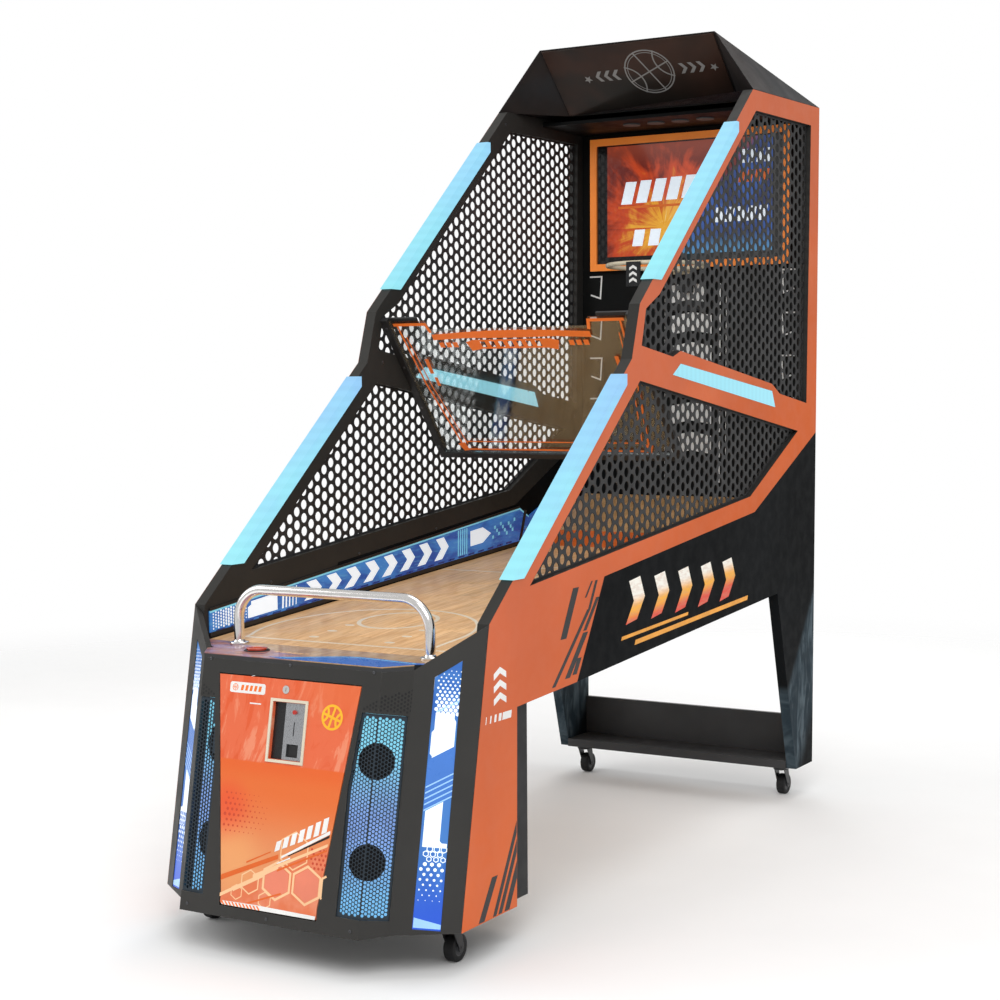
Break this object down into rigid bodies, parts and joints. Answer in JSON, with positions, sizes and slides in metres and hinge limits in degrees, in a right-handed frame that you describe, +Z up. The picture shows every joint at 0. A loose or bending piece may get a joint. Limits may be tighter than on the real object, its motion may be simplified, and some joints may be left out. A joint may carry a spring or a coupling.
{
  "type": "basketball hoop machine",
  "caption": "Arcade basketball machine: a sloping court between tall mesh side frames leads to a hoop under a monitor, with a coin door cabinet in front.",
  "frame": {"origin": "on the floor under the middle of the machine's overall width and depth", "axes": "+Z up, -Y towards the player, +Y towards the back wall, +X to the player's right"},
  "size_m": [1.008, 2.675, 2.736],
  "materials": {
    "frame_orange": "painted laminate, satin",
    "panel_black": "printed laminate, satin",
    "mesh_black": "powder coat, satin",
    "light_cyan": "lit opal diffuser",
    "cabinet_black": "powder coat, satin",
    "carcass_black": "painted, satin",
    "zinc_steel": "zinc plated",
    "door_orange": "printed graphic, gloss",
    "cream_trim": "gloss",
    "coin_steel": "brushed",
    "dark_plastic": "moulded, satin",
    "button_red": "gloss",
    "lock_chrome": "polished",
    "grille_blue": "perforated, lit from behind",
    "speaker_black": "moulded, matte",
    "light_blue": "lit printed diffuser",
    "court_wood": "varnished boards",
    "button_orange": "lit dome",
    "chrome_tube": "polished",
    "gate_orange": "gloss",
    "banner_blue": "printed, gloss",
    "clear_acrylic": "clear, printed lines",
    "frame_dark": "powder coat, satin",
    "wall_black": "printed, satin",
    "lamp_white": "lit lens",
    "header_black": "gloss",
    "marquee_smoke": "smoked gloss",
    "screen_black": "screen",
    "bezel_orange": "gloss",
    "rim_cream": "gloss",
    "fork_black": "powder coat",
    "wheel_rubber": "moulded rubber"
  },
  "bodies": {
    "frame": {"side_frame_left": "frame_orange", "side_frame_right": "frame_orange", "lower_panel_left": "panel_black", "lower_panel_right": "panel_black", "mesh_upper_left": "mesh_black", "mesh_upper_right": "mesh_black", "mesh_lower_left": "mesh_black", "mesh_lower_right": "mesh_black", "edge_light_upper_left": "light_cyan", "edge_light_upper_right": "light_cyan", "edge_light_lower_left": "light_cyan", "edge_light_lower_right": "light_cyan", "bar_light_left": "light_cyan", "bar_light_right": "light_cyan", "front_cabinet": "cabinet_black", "base_box": "carcass_black", "cash_box": "zinc_steel", "speaker_grille_left": "grille_blue", "speaker_grille_right": "grille_blue", "speakers": "speaker_black", "wing_light_left": "light_blue", "wing_light_right": "light_blue", "front_ledge": "court_wood", "grab_bar": "chrome_tube", "court_floor": "court_wood", "court_rails": "zinc_steel", "rear_ramp": "court_wood", "banner_left": "banner_blue", "banner_right": "banner_blue", "shield_panel": "clear_acrylic", "shield_frame": "frame_dark", "back_panel": "wall_black", "soffit": "cabinet_black", "downlights": "lamp_white", "header_shell": "header_black", "marquee_panel": "marquee_smoke", "monitor": "screen_black", "monitor_bezel": "bezel_orange", "hoop_bracket": "frame_dark", "storage_shelf": "carcass_black", "caster_plates": "zinc_steel"},
    "coin_door": {"coin_door": "door_orange", "coin_frame": "cream_trim", "coin_mech": "coin_steel"},
    "coin_return_flap": {"coin_return_flap": "dark_plastic"},
    "reject_button": {"reject_button": "button_red"},
    "door_lock": {"door_lock": "lock_chrome"},
    "start_button": {"start_button": "button_orange"},
    "ball_gate": {"ball_gate": "gate_orange"},
    "service_door": {"service_door": "wall_black"},
    "hoop": {"hoop_rim": "rim_cream", "rim_plate": "dark_plastic"},
    "fork_front_left": {"fork_front_left": "fork_black"},
    "fork_front_right": {"fork_front_right": "fork_black"},
    "fork_rear_left": {"fork_rear_left": "fork_black"},
    "fork_rear_right": {"fork_rear_right": "fork_black"},
    "wheel_front_left": {"wheel_front_left": "wheel_rubber"},
    "wheel_front_right": {"wheel_front_right": "wheel_rubber"},
    "wheel_rear_left": {"wheel_rear_left": "wheel_rubber"},
    "wheel_rear_right": {"wheel_rear_right": "wheel_rubber"}
  },
  "joints": [
    {"name": "coin_door_hinge", "type": "hinge", "parent": "frame", "child": "coin_door", "pos_m": [0, -1.32082, 0.15358], "axis": [1, 0, 0], "range_deg": [0, 85]},
    {"name": "coin_return_push", "type": "hinge", "parent": "coin_door", "child": "coin_return_flap", "pos_m": [0.028, -1.23864, 0.58075], "axis": [1, 0, 0], "range_deg": [0, 50], "stiffness_Nm_per_rad": 0.02},
    {"name": "reject_button_press", "type": "slide", "parent": "coin_door", "child": "reject_button", "axis": [0, 0.9824, -0.1867], "range_m": [0, 0.004], "stiffness_N_per_m": 400},
    {"name": "door_lock_turn", "type": "hinge", "parent": "coin_door", "child": "door_lock", "pos_m": [-0.006, -1.22102, 0.72703], "axis": [0, -0.9824, 0.1867], "range_deg": [0, 90]},
    {"name": "start_button_press", "type": "slide", "parent": "frame", "child": "start_button", "axis": [0, 0, -1], "range_m": [0, 0.005], "stiffness_N_per_m": 500},
    {"name": "ball_gate_fold", "type": "hinge", "parent": "frame", "child": "ball_gate", "pos_m": [0, 0.8275, 0.946], "axis": [1, 0, 0], "range_deg": [-55, 0]},
    {"name": "service_door_swing", "type": "hinge", "parent": "frame", "child": "service_door", "pos_m": [0.408, 1.3295, 2.215], "axis": [0, 0, 1], "range_deg": [-110, 0]},
    {"name": "hoop_flex", "type": "hinge", "parent": "frame", "child": "hoop", "pos_m": [0, 1.2325, 1.961], "axis": [1, 0, 0], "range_deg": [0, 12], "stiffness_Nm_per_rad": 400},
    {"name": "swivel_front_left", "type": "hinge", "parent": "frame", "child": "fork_front_left", "pos_m": [-0.415, -1.0815, 0.103], "axis": [0, 0, 1], "continuous": true},
    {"name": "roll_front_left", "type": "hinge", "parent": "fork_front_left", "child": "wheel_front_left", "pos_m": [-0.415, -1.0555, 0.038], "axis": [1, 0, 0], "continuous": true},
    {"name": "swivel_front_right", "type": "hinge", "parent": "frame", "child": "fork_front_right", "pos_m": [0.415, -1.0815, 0.103], "axis": [0, 0, 1], "continuous": true},
    {"name": "roll_front_right", "type": "hinge", "parent": "fork_front_right", "child": "wheel_front_right", "pos_m": [0.415, -1.0555, 0.038], "axis": [1, 0, 0], "continuous": true},
    {"name": "swivel_rear_left", "type": "hinge", "parent": "frame", "child": "fork_rear_left", "pos_m": [-0.42, 1.2245, 0.103], "axis": [0, 0, 1], "continuous": true},
    {"name": "roll_rear_left", "type": "hinge", "parent": "fork_rear_left", "child": "wheel_rear_left", "pos_m": [-0.42, 1.2505, 0.038], "axis": [1, 0, 0], "continuous": true},
    {"name": "swivel_rear_right", "type": "hinge", "parent": "frame", "child": "fork_rear_right", "pos_m": [0.42, 1.2245, 0.103], "axis": [0, 0, 1], "continuous": true},
    {"name": "roll_rear_right", "type": "hinge", "parent": "fork_rear_right", "child": "wheel_rear_right", "pos_m": [0.42, 1.2505, 0.038], "axis": [1, 0, 0], "continuous": true}
  ]
}
